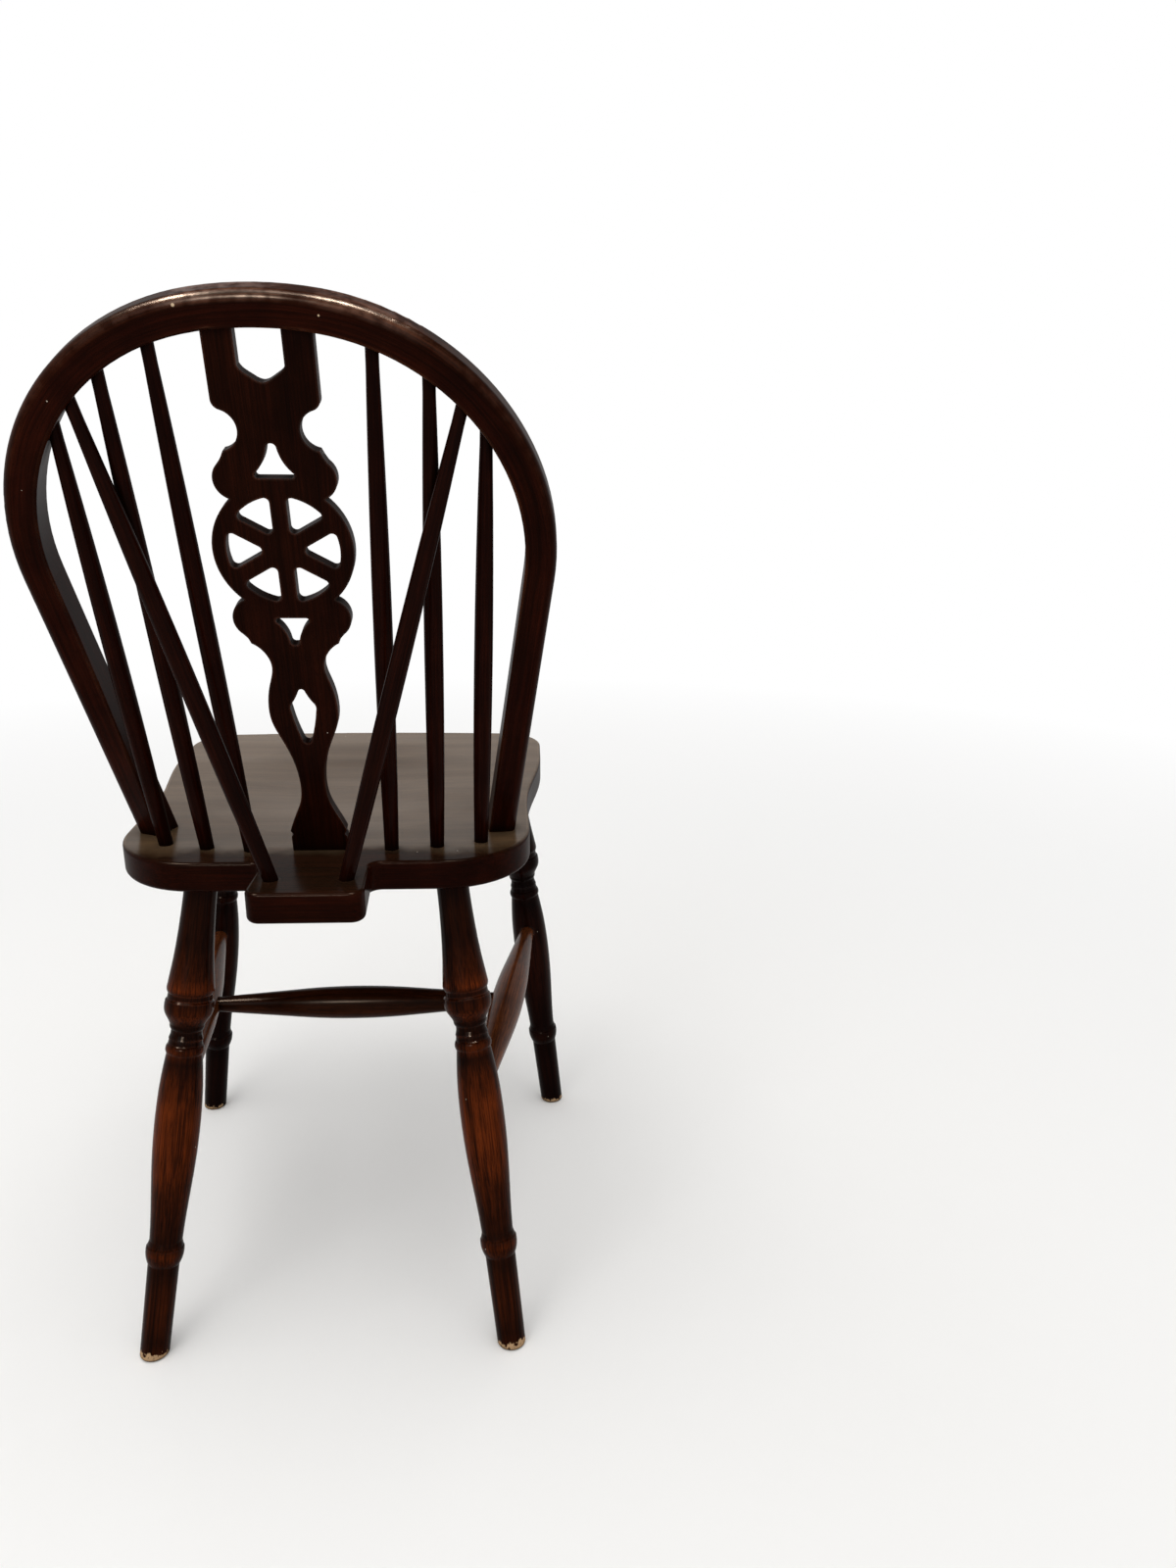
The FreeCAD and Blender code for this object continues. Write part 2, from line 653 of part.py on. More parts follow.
def stretcher_socket(start, end, held_radius):
    """The drilled hole in the piece at start for a stretcher that runs to end."""
    bottom = toward(start, end, stretcher_reach(held_radius) - end_gap)
    outside = toward(start, end, held_radius + cutter_excess)
    return rod(bottom, outside, stretcher_end_radius + tenon_gap)


def make_leg(name):
    foot, under = leg_lines()[name]
    length = (under - foot).Length
    solid = turned(leg_outline(length + leg_socket_depth), foot, under)
    below = Vector(foot.x - cutter_excess, foot.y - cutter_excess, -cutter_excess)
    floor = Part.makeBox(2 * cutter_excess, 2 * cutter_excess, cutter_excess, below)
    solid = solid.cut(floor)
    rim = [e for e in solid.Edges if e.BoundBox.ZMax < 0.01]
    solid = solid.makeFillet(foot_round, rim)
    other_end = name.replace("front", "back") if "front" in name else name.replace("back", "front")
    hole = stretcher_socket(stretcher_point(name), stretcher_point(other_end), leg_swell_radius)
    return solid.cut(hole)


def make_side_stretcher(side):
    front = stretcher_point(f"leg_front_{side}")
    back = stretcher_point(f"leg_back_{side}")
    solid = make_stretcher(front, back, leg_swell_radius)
    here, there = cross_points()
    if side == "right":
        here, there = there, here
    return solid.cut(stretcher_socket(here, there, stretcher_middle_radius))


parts = {
    "seat": make_seat(),
    "hoop": make_hoop(),
    "splat": make_splat(),
    "hoop_wedge_left": wedge(1),
    "hoop_wedge_right": wedge(-1),
    "cross_stretcher": make_stretcher(*cross_points(), stretcher_middle_radius),
}
for stick_name, stick_place in stick_places_all().items():
    parts[stick_name] = make_stick(stick_place)
for leg_name in leg_lines():
    parts[leg_name] = make_leg(leg_name)
for side_name in ("left", "right"):
    parts[f"side_stretcher_{side_name}"] = make_side_stretcher(side_name)

# The origin moves to the floor under the middle of the chair
overall = Part.makeCompound(list(parts.values())).optimalBoundingBox(False)
shift = Vector(-overall.Center.x, -overall.Center.y, -overall.ZMin)

os.makedirs("parts", exist_ok=True)
for part_name, shape in parts.items():
    shape.translate(shift)
    shape.exportStep(f"parts/{part_name}.step")
    print(part_name, shape.ShapeType, len(shape.Solids), round(shape.Volume), shape.isValid())
print("shift", shift, "size", overall.XLength, overall.YLength, overall.ZLength)
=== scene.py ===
# %% [markdown]
# # A wheelback chair
# A wheelback is a Windsor dining chair: a bent hoop and a pierced splat stand in a solid seat,
# and turned legs go up into sockets under it. The imported model gives every piece its right
# shape and place. This lesson gives the pieces their surface: beech that was stained a dark
# red-brown, lacquered, and rubbed thin by years of hands, feet and floors.

# %% Load the imported chair
import json
import math
import bpy
from mathutils import Matrix, Vector

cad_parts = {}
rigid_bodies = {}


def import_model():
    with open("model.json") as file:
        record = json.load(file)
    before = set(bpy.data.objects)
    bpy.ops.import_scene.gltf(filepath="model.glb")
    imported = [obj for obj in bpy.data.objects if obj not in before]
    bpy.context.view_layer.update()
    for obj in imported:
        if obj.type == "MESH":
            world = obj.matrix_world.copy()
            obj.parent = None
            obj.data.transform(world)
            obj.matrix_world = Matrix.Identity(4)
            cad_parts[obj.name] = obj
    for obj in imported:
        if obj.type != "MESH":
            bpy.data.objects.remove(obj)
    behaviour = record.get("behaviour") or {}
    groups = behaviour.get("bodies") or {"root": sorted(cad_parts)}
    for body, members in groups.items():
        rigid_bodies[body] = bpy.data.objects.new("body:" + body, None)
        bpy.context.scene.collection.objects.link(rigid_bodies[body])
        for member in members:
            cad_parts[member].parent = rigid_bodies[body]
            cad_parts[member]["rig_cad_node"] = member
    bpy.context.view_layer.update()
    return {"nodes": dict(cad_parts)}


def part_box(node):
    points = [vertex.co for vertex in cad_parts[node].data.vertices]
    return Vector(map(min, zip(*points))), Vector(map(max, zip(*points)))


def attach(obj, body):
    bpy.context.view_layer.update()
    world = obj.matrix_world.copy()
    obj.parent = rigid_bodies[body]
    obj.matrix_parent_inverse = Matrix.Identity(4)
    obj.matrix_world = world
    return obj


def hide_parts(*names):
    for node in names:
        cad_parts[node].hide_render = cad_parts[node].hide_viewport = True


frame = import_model()

# %% [markdown]
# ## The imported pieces
# Every piece has its right shape already, smooth over its rounds and crisp at the arrises that
# a chisel or a saw left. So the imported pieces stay, and they only get their surface. The hoop
# is the exception. It was steamed and bent, so its grain follows the bend, and that needs a
# value stored at each point of its mesh. A copy that can hold those values stands for it.

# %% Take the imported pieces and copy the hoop
chair = dict(frame["nodes"])
bpy.ops.object.select_all(action="DESELECT")
chair["hoop"].select_set(True)
bpy.context.view_layer.objects.active = chair["hoop"]
bpy.ops.object.duplicate()
hoop = bpy.context.object
hoop.name = hoop.data.name = "finished_hoop"
del hoop["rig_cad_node"]
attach(hoop, "root")
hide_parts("hoop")
chair["hoop"] = hoop
print("triangles", sum(len(piece.data.polygons) for piece in chair.values()))

# %% [markdown]
# ## Helpers for the finishes
# Colours are written as they look on a screen and turned to the linear values that Blender
# mixes. One function adds a node with its settings and links, so that a finish reads as a list
# of steps. It gives back the output that the next step takes.

# %% Colour and node helpers
def linear(hex_colour):
    """A colour written as sRGB hex, as linear RGBA."""
    parts = [int(hex_colour[i:i + 2], 16) / 255 for i in (1, 3, 5)]
    return [p / 12.92 if p <= 0.04045 else ((p + 0.055) / 1.055) ** 2.4 for p in parts] + [1.0]


def add(material, kind, inputs=None, output=0, **settings):
    """Adds a shader node with its settings, and its inputs as values or links."""
    node = material.node_tree.nodes.new("ShaderNode" + kind)
    for name, value in settings.items():
        setattr(node, name, value)
    for name, value in (inputs or {}).items():
        if isinstance(value, bpy.types.NodeSocket):
            material.node_tree.links.new(value, node.inputs[name])
        else:
            node.inputs[name].default_value = value
    return node.outputs[output] if node.outputs else None


def fill_ramp(node, stops):
    """Gives a colour ramp its stops, as (place, value)."""
    ramp = node.color_ramp
    while len(ramp.elements) < len(stops):
        ramp.elements.new(0.5)
    for element, (place, value) in zip(ramp.elements, stops):
        element.position = place
        element.color = (value, value, value, 1)


print("helpers ready")

# %% [markdown]
# ## Where the grain runs
# Wood is strong along its grain, so a maker lays the grain along every stick, leg and rail.
# A Mapping node turns the pattern of a straight piece until its z runs along the piece and
# starts at its foot. The hoop is one bent rod, so its grain bends with it: each of its points
# keeps its distance along the bend and its two distances from the centre line in an attribute.

# %% Points on the chair, in millimetres
back_feet = ((153.7, 193.845, 0.0), (104.5, 91.07, 404.56))
front_feet = ((197.6, -193.855, 0.0), (149.8, -191.83, 411.97))
splat_foot = (0.0, 108.1, 429.9)
splat_head = (0.0, 231.0, 840.7)
end_depth = 0.005  # metres


def metres(point, side=1):
    """A point in metres, mirrored for a piece on the sitter's right."""
    return Vector((side * point[0], point[1], point[2])) / 1000


def low_and_high(piece):
    """The middle of the lowest and of the highest few millimetres of a slender piece."""
    corners = [v.co for v in piece.data.vertices]
    ends = []
    for level, keep in ((min(c.z for c in corners), 1), (max(c.z for c in corners), -1)):
        near = [c for c in corners if keep * (c.z - level) < end_depth]
        ends.append(sum(near, Vector()) / len(near))
    return ends


for node in ("stick_outer_left", "brace_stick_right"):
    print(node, *[[round(x, 3) for x in end] for end in low_and_high(chair[node])])

# %% [markdown]
# Seen along its lean, the hoop is a wide arc at the crown, a tighter arc at each shoulder and a
# straight side down to each foot. A point's place follows from whichever of these it lies on.

# %% Distance along the bent hoop, in metres
hoop_foot = Vector((0.0, 0.0606, 0.4314))
hoop_lean = math.radians(22)
foot_out = 0.1475
crown_centre, crown_radius = 0.1929, 0.2485
crown_half_angle = math.radians(9.2)
shoulder_out, shoulder_up, shoulder_radius = 0.01266, 0.27108, 0.1693
shoulder_end = math.radians(97.67)
side_top = Vector((0.18045, 0.24848))
side_run = (Vector((foot_out, 0.0)) - side_top).normalized()


def along_hoop(point):
    """Distance out from the centre line, distance in front of it and distance along it."""
    across = point - hoop_foot
    up = across.y * math.sin(hoop_lean) + across.z * math.cos(hoop_lean)
    depth = across.y * math.cos(hoop_lean) - across.z * math.sin(hoop_lean)
    out = abs(point.x)
    side = 1 if point.x > 0 else -1
    angle = math.atan2(out, up - crown_centre)
    if angle < crown_half_angle:
        offset = math.hypot(out, up - crown_centre) - crown_radius
        return Vector((offset, depth, side * crown_radius * angle))
    before = crown_radius * crown_half_angle
    angle = math.atan2(out - shoulder_out, up - shoulder_up)
    if angle < shoulder_end:
        offset = math.hypot(out - shoulder_out, up - shoulder_up) - shoulder_radius
        along = before + shoulder_radius * (angle - crown_half_angle)
        return Vector((offset, depth, side * along))
    before += shoulder_radius * (shoulder_end - crown_half_angle)
    step = Vector((out, up)) - side_top
    offset = side_run.y * -step.x + side_run.x * step.y
    return Vector((offset, depth, side * (before + step.dot(side_run))))


bend = hoop.data.attributes.new("bend", "FLOAT_VECTOR", "POINT")
for vertex in hoop.data.vertices:
    bend.data[vertex.index].vector = along_hoop(vertex.co)
reach = [bend.data[v.index].vector.z for v in hoop.data.vertices]
print("hoop from", round(min(reach), 3), "to", round(max(reach), 3), "metres along its bend")

# %% [markdown]
# ## Stained and lacquered beech
# Beech has fine straight fibres, thin dark streaks and small dark flecks. A spirit stain sinks
# in unevenly, so the colour wanders from near black to red-brown, and it stays thin on the
# fibres and deep in the pores. A coat of lacquer gives the gloss: it is nearly a mirror at a
# low angle and dark when it is seen straight on. Corners that hands rub lose stain and turn
# warmer, and they shine. The wood near a joint stays dark with old polish and dust, and an
# ambient occlusion mask adds painted shade there and in the grooves.
#
# Every pattern below starts from a real size. The fibres are really about 0.2 mm wide, too
# fine for the picture, so they are drawn at about 1 mm.

# %% Real sizes of the patterns, in metres
fibre_width, fibre_length = 0.0011, 0.055
figure_width, figure_length = 0.011, 0.32
fleck_width, fleck_length = 0.0007, 0.0065
streak_width, streak_length = 0.0018, 0.10
cloud_size = 0.055
ripple_size = 0.004
chip_size, chip_height = 0.006, 0.016
speck_spacing = 0.017
worn_corner = 0.0028
dust_and_shade_reach = 0.012
rub_length = 0.42
print("fibres drawn", fibre_width * 1000, "mm wide")

# %% Grain
def grain_point(material, start, end):
    """Object coordinates turned until z runs from start to end."""
    place = add(material, "TexCoord", output="Object")
    turn = (Vector(end) - Vector(start)).to_track_quat("Z", "Y").inverted()
    return add(material, "Mapping", {
        "Vector": place, "Rotation": turn.to_euler(), "Location": -(turn @ Vector(start))})


def grain_noise(material, point, width, length, **look):
    """A noise whose spots are this wide across the grain and this long along it."""
    stretch = (1 / width, 1 / width, 1 / length)
    stretched = add(material, "VectorMath", {0: point, 1: stretch}, operation="MULTIPLY")
    return add(material, "TexNoise", {"Vector": stretched, "Scale": 1.0, **look})


print("grain ready")

# %% The recipe for a wooden finish
def lacquered_beech(name, point_of, dark, middle, worn, rubbed=None, polish_and_highlight=None,
                    dust_and_shade_colour="#0b0402", gloss=0.22, coat=0.15, rim=0.5, haze=0.0, marks=()):
    """A finish whose grain runs along z of the point.

    rubbed gives wear by distance along the grain, and polish_and_highlight gives it by place,
    with a shine and a haze; on the hoop it also paints highlights in the worn colour. coat and
    rim are the strength of the gloss seen straight on and at a low angle.
    marks are pale spots, each with its place and radius.
    """
    material = bpy.data.materials.new(name)
    material.use_nodes = True
    material.node_tree.nodes.clear()
    point = point_of(material)

    # Stain: fibres and a broad figure share one colour range, and soft clouds shift it.
    fibres = grain_noise(material, point, fibre_width, fibre_length, Detail=3.0, Roughness=0.6)
    figure = grain_noise(material, point, figure_width, figure_length,
                         Detail=4.0, Roughness=0.55, Distortion=0.4)
    clouds = add(material, "TexNoise", {
        "Vector": point, "Scale": 1 / cloud_size, "Detail": 3.0, "Roughness": 0.6})
    fleck_noise = grain_noise(material, point, fleck_width, fleck_length, Detail=1.0, Roughness=0.5)
    flecks = add(material, "MapRange", {"Value": fleck_noise, 1: 0.60, 2: 0.70})
    streak_noise = grain_noise(material, point, streak_width, streak_length,
                               Detail=2.0, Roughness=0.5, Distortion=0.3)
    streaks = add(material, "MapRange", {"Value": streak_noise, 1: 0.50, 2: 0.62})
    figure_share = add(material, "MapRange", {"Value": figure, 1: 0.36, 2: 0.64})
    fibre_share = add(material, "MapRange", {"Value": fibres, 1: 0.40, 2: 0.60})
    depth = add(material, "Mix", {0: 0.45, 6: figure_share, 7: fibre_share}, 2, data_type="RGBA")
    colour = add(material, "Mix", {0: depth, 6: linear(dark), 7: linear(middle)}, 2, data_type="RGBA")
    cloud_share = add(material, "MapRange", {"Value": clouds, 1: 0.35, 2: 0.68, 3: 0.62, 4: 1.18})
    cloud_tint = add(material, "CombineColor", {0: cloud_share, 1: cloud_share, 2: cloud_share})
    colour = add(material, "Mix", {0: 1.0, 6: colour, 7: cloud_tint}, 2,
                 data_type="RGBA", blend_type="MULTIPLY")

    # Wear: a corner is where the softened normal turns away from the true one.
    corner = add(material, "Bevel", {"Radius": worn_corner}, samples=4)
    facing = add(material, "NewGeometry", output="Normal")
    same = add(material, "VectorMath", {0: corner, 1: facing}, 1, operation="DOT_PRODUCT")
    corner_share = add(material, "MapRange", {"Value": same, 1: 0.985, 2: 0.88})
    uneven = add(material, "MapRange", {"Value": clouds, 1: 0.42, 2: 0.60, 3: 0.15, 4: 0.75})
    wear = add(material, "Math", {0: corner_share, 1: uneven}, operation="MULTIPLY")
    if rubbed:
        along = add(material, "SeparateXYZ", {0: point}, 2)
        height = add(material, "MapRange", {"Value": along, 1: 0.0, 2: rub_length})
        ramp = add(material, "ValToRGB", {0: height})
        fill_ramp(ramp.node, rubbed)
        grain_share = add(material, "MapRange", {"Value": depth, 1: 0.10, 2: 0.85, 3: 0.10})
        thin = add(material, "Math", {0: ramp, 1: grain_share}, operation="MULTIPLY")
        patchy = add(material, "MapRange", {"Value": clouds, 1: 0.36, 2: 0.60, 3: 0.50})
        thin = add(material, "Math", {0: thin, 1: patchy}, operation="MULTIPLY")
        wear = add(material, "Math", {0: thin, 1: wear}, operation="MAXIMUM")
    # Polish by place. On the hoop this also paints highlights in the worn colour.
    if polish_and_highlight:
        share = polish_and_highlight(material, point, facing, clouds)
        grain_share = add(material, "MapRange", {"Value": depth, 1: 0.10, 2: 0.85, 3: 0.35})
        polish_and_highlight_share = add(material, "Math", {0: share, 1: grain_share}, operation="MULTIPLY")
        wear = add(material, "Math", {0: wear, 1: polish_and_highlight_share}, operation="MAXIMUM")
    colour = add(material, "Mix", {0: wear, 6: colour, 7: linear(worn)}, 2, data_type="RGBA")

    # Dark streaks and pores lie over the wear, since stain stays deepest in them.
    streak_share = add(material, "Math", {0: streaks, 1: 0.55}, operation="MULTIPLY")
    colour = add(material, "Mix", {0: streak_share, 6: colour, 7: linear(dark)}, 2, data_type="RGBA")
    fleck_share = add(material, "Math", {0: flecks, 1: 0.45}, operation="MULTIPLY")
    colour = add(material, "Mix", {0: fleck_share, 6: colour, 7: linear("#0c0402")}, 2, data_type="RGBA")

    # Bare wood where the foot of a leg is chipped.
    if rubbed:
        low = add(material, "MapRange", {"Value": along, 1: chip_height, 2: 0.0})
        chip_noise = add(material, "TexNoise", {
            "Vector": point, "Scale": 1 / chip_size, "Detail": 3.0, "Roughness": 0.7})
        chipped = add(material, "Math", {0: low, 1: chip_noise}, operation="MULTIPLY")
        chips = add(material, "MapRange", {"Value": chipped, 1: 0.36, 2: 0.40})
        colour = add(material, "Mix", {0: chips, 6: colour, 7: linear("#a98a68")}, 2, data_type="RGBA")

    # Old polish and dust in the joints and grooves, and painted shade: an ambient occlusion
    # mask darkens the colour in these hollows.
    closeness = add(material, "AmbientOcclusion", {"Distance": dust_and_shade_reach}, "AO", samples=6)
    dust_and_shade = add(material, "MapRange", {"Value": closeness, 1: 0.80, 2: 0.45})
    dust_and_shade_share = add(material, "Math", {0: dust_and_shade, 1: 0.85}, operation="MULTIPLY")
    colour = add(material, "Mix", {0: dust_and_shade_share, 6: colour, 7: linear(dust_and_shade_colour)}, 2, data_type="RGBA")

    # A few pale specks, and the marks that were given.
    cells = add(material, "TexVoronoi", {"Vector": point, "Scale": 1 / speck_spacing}, "Distance",
                feature="F1")
    chance = add(material, "SeparateColor", {0: cells.node.outputs["Color"]})
    few = add(material, "MapRange", {"Value": chance, 1: 0.80, 2: 0.81})
    dots = add(material, "MapRange", {"Value": cells, 1: 0.036, 2: 0.024})
    specks = add(material, "Math", {0: few, 1: dots}, operation="MULTIPLY")
    colour = add(material, "Mix", {0: specks, 6: colour, 7: linear("#a59a8c")}, 2, data_type="RGBA")
    for place, radius in marks:
        away = add(material, "VectorMath", {0: point, 1: place}, "Value", operation="DISTANCE")
        mark = add(material, "MapRange", {"Value": away, 1: radius, 2: radius * 0.6})
        colour = add(material, "Mix", {0: mark, 6: colour, 7: linear("#b9a183")}, 2, data_type="RGBA")

    # Relief: pores are sunk, fibres stand a little, and the lacquer over them ripples.
    ripple = add(material, "TexNoise", {"Vector": point, "Scale": 1 / ripple_size, "Detail": 2.0})
    raised = add(material, "Math", {0: fibres, 1: 0.5}, operation="MULTIPLY")
    relief = add(material, "Math", {0: flecks, 1: -0.6, 2: raised}, operation="MULTIPLY_ADD")
    relief = add(material, "Math", {0: ripple, 1: 0.5, 2: relief}, operation="MULTIPLY_ADD")
    bump = add(material, "Bump", {"Strength": 0.22, "Distance": 0.0004, "Height": relief})
    skin = add(material, "Bump", {"Strength": 0.12, "Distance": 0.0003, "Height": ripple})

    # Gloss: weak straight on, strong at a low angle and on rubbed corners, dull under grime.
    roughness = add(material, "MapRange", {"Value": clouds, 1: 0.3, 2: 0.7, 3: 0.42, 4: 0.58})
    roughness = add(material, "Math", {0: dust_and_shade, 1: 0.3, 2: roughness}, operation="MULTIPLY_ADD")
    turned_away = add(material, "LayerWeight", {"Blend": 0.5}, "Facing")
    coat_share = add(material, "MapRange", {"Value": turned_away, 1: 0.25, 2: 0.75, 3: coat, 4: rim})
    edge_gloss = add(material, "Math", {0: corner_share, 1: 0.45}, operation="MULTIPLY")
    coat_share = add(material, "Math", {0: coat_share, 1: edge_gloss}, operation="MAXIMUM")
    sheen = 0.0
    if polish_and_highlight:
        sheen = add(material, "Math", {0: share, 1: haze}, operation="MULTIPLY")
        coat_share = add(material, "Math", {0: coat_share, 1: share}, operation="MAXIMUM")
    clean = add(material, "MapRange", {"Value": dust_and_shade, 1: 0.0, 2: 1.0, 3: 1.0, 4: 0.3})
    coat_share = add(material, "Math", {0: coat_share, 1: clean}, operation="MULTIPLY")
    shader = add(material, "BsdfPrincipled", {
        "Base Color": colour, "Roughness": roughness, "Specular IOR Level": 0.0, "Normal": bump,
        "Coat Weight": coat_share, "Coat Roughness": gloss, "Coat IOR": 1.36, "Coat Normal": skin,
        "Sheen Weight": sheen, "Sheen Roughness": 0.4, "Sheen Tint": linear("#e0b98c")})
    add(material, "OutputMaterial", {0: shader})
    return material


def finish(piece, material):
    """Puts one material in each material slot of a piece."""
    for material_slot in piece.material_slots:
        material_slot.material = material


print("recipe ready")

# %% [markdown]
# ## The back
# The hoop, splat and sticks took the most stain, and they are a dark mahogany brown. Hands
# polish the outer corner of the hoop's crown, most in two places, and wear it to a lighter
# brown. In those two places the lighter, shinier brown is also a painted highlight. The sticks
# are shaved from straight wood, and each one has its own mapping, so that no two show the same
# grain. The two bracing sticks are a little shinier than the rest.

# %% Finish the hoop
mottle_size = 0.007
corner_from, corner_to = 0.004, 0.009  # out from the centre line, in metres
# Each grip is hand wear and also a painted highlight in the worn colour.
grips_and_highlights = ((0.017, 0.050), (-0.067, 0.045))  # middle and reach along the bend
hoop_marks = (((0.0068, 0.0122, 0.0466), 0.0013), ((0.0006, 0.0126, -0.0417), 0.0008))
hoop_colours = ("#120401", "#280b04", "#67391f")


def hand_polish_and_highlight(material, point, facing, clouds):
    """Worn and shiny on the outer corner of the hoop's crown, most where two hands take hold, where
    highlights are painted as well.
    """
    out = add(material, "SeparateXYZ", {0: point})
    along = out.node.outputs[2]
    round_the_bend = add(material, "Math", {0: along}, operation="ABSOLUTE")
    held_and_highlit = add(material, "MapRange", {"Value": round_the_bend, 1: 0.30, 2: 0.12, 4: 0.22})
    for middle, grip_reach in grips_and_highlights:
        away = add(material, "Math", {0: along, 1: middle}, operation="SUBTRACT")
        away = add(material, "Math", {0: away}, operation="ABSOLUTE")
        grip_and_highlight = add(material, "MapRange", {"Value": away, 1: grip_reach, 2: grip_reach * 0.4, 4: 0.85})
        held_and_highlit = add(material, "Math", {0: held_and_highlit, 1: grip_and_highlight}, operation="MAXIMUM")
    mottle = add(material, "TexNoise", {"Vector": point, "Scale": 1 / mottle_size, "Detail": 3.0})
    mottled = add(material, "MapRange", {"Value": mottle, 1: 0.35, 2: 0.60, 3: 0.35})
    held_and_highlit = add(material, "Math", {0: held_and_highlit, 1: mottled}, operation="MULTIPLY")
    outer = add(material, "MapRange", {"Value": out, 1: corner_from, 2: corner_to})
    return add(material, "Math", {0: held_and_highlit, 1: outer}, operation="MULTIPLY")


finish(hoop, lacquered_beech(
    "lacquered_beech_hoop", lambda m: add(m, "Attribute", output="Vector", attribute_name="bend"),
    *hoop_colours, polish_and_highlight=hand_polish_and_highlight, gloss=0.28, coat=0.05, rim=0.3, marks=hoop_marks))
print("hoop finished")

# %% Finish the splat and the sticks
splat_grain = (metres(splat_foot), metres(splat_head))
splat_colours = ("#100401", "#240b04", "#45200f")
finish(chair["splat"], lacquered_beech(
    "lacquered_beech_splat", lambda m: grain_point(m, *splat_grain), *splat_colours,
    gloss=0.30, coat=0.05, rim=0.25))
stick_colours = ("#0f0301", "#240a04", "#451b0d")
for node, piece in chair.items():
    if "stick" in node:
        ends = low_and_high(piece)
        stick_gloss, stick_coat = (0.16, 0.08) if "brace" in node else (0.20, 0.06)
        finish(piece, lacquered_beech(
            "lacquered_beech_" + node, lambda m: grain_point(m, *ends), *stick_colours,
            gloss=stick_gloss, coat=stick_coat, rim=0.18))
print("splat and sticks finished")

# %% [markdown]
# ## The seat
# The seat is a wide board whose grain runs from side to side. Sitting has polished its top, so
# at a low angle it mirrors the pale wall in front of the chair. Nobody sits behind the sticks,
# so the margin there and the edge stay duller, with dust and glue round the foot of each stick.
# The darkening round each foot follows an ambient occlusion mask, so it is painted shade too.
# A warm sheen on the polished part is the haze of old polish, which is seen only at a low
# angle, and faint bands of it follow the grain.

# %% Finish the seat
band_width, band_length = 0.028, 0.22
dull_behind, polished_before = 0.150, 0.128  # metres behind the middle of the chair
seat_colours = ("#110401", "#240903", "#3c2a18")
seat_ends = (Vector((-0.19, 0.0, 0.43)), Vector((0.19, 0.0, 0.43)))


def sitting_polish(material, point, facing, clouds):
    """Shiny on top and in front of the sticks, where the chair is sat on."""
    up = add(material, "SeparateXYZ", {0: facing}, 2)
    place = add(material, "SeparateXYZ", {0: add(material, "TexCoord", output="Object")}, 1)
    uneven = add(material, "Math", {0: clouds, 1: 0.05, 2: place}, operation="MULTIPLY_ADD")
    in_front = add(material, "MapRange", {"Value": uneven, 1: dull_behind, 2: polished_before, 3: 0.12})
    band_noise = grain_noise(material, point, band_width, band_length, Detail=5.0)
    bands = add(material, "MapRange", {"Value": band_noise, 1: 0.36, 2: 0.64, 3: 0.57, 4: 0.69})
    in_front = add(material, "Math", {0: in_front, 1: bands}, operation="MULTIPLY")
    level = add(material, "MapRange", {"Value": up, 1: 0.5, 2: 0.95})
    return add(material, "Math", {0: in_front, 1: level}, operation="MULTIPLY")


# Its dust colour goes where the ambient occlusion mask finds a hollow: dust and painted shade.
finish(chair["seat"], lacquered_beech(
    "polished_beech_seat", lambda m: grain_point(m, *seat_ends), *seat_colours,
    polish_and_highlight=sitting_polish, dust_and_shade_colour="#1c120c", gloss=0.22, coat=0.05, rim=0.25, haze=0.80))
print("seat finished")

# %% [markdown]
# ## The turned legs
# The legs stand in shoes' way and in the light, and their full parts are rubbed to a warm
# red-brown. Grooves keep their dark stain. The ramp gives the wear from the foot (0) to the
# seat (1), with one stop for each part of the turning. The front legs get darker colours all
# through, with less of the warm wear colour: that is painted shade.

# %% Finish the legs
leg_rub = [
    (0.0, 0.35), (0.035, 0.10), (0.10, 0.30), (0.185, 0.10), (0.215, 0.80), (0.235, 0.05),
    (0.30, 0.30), (0.40, 0.85), (0.52, 1.0), (0.575, 0.55), (0.612, 0.0), (0.636, 0.75),
    (0.650, 0.0), (0.685, 0.0), (0.700, 0.55), (0.722, 0.30), (0.738, 0.0), (0.752, 0.0),
    (0.763, 0.9), (0.785, 0.35), (0.85, 0.05), (1.0, 0.0)]
# The front colours are darker copies of the back ones: painted shade.
leg_colours_with_shaded_front = {"back": ("#0c0301", "#220b03", "#5e260a"), "front": ("#080201", "#120402", "#240b04")}
for end_name, ends in (("back", back_feet), ("front", front_feet)):
    for side_name, side in (("left", 1), ("right", -1)):
        node = f"leg_{end_name}_{side_name}"
        foot, under = (metres(p, side) for p in ends)
        finish(chair[node], lacquered_beech(
            "worn_beech_" + node, lambda m: grain_point(m, foot, under), *leg_colours_with_shaded_front[end_name],
            rubbed=leg_rub, gloss=0.18, coat=0.07, rim=0.35))
print("legs finished")

# %% [markdown]
# ## The stretchers
# A side stretcher runs between the balls of a front and a back leg. Feet rest on it, so it has
# lost most of its stain. Its pale tan is also a painted reflection of the bright room at a low
# angle. The cross stretcher lies out of reach and keeps its dark colour.

# %% Finish the stretchers
up_front_leg, up_back_leg = 225.0 / 414.7, 220.5 / 420.3  # of the way up each leg
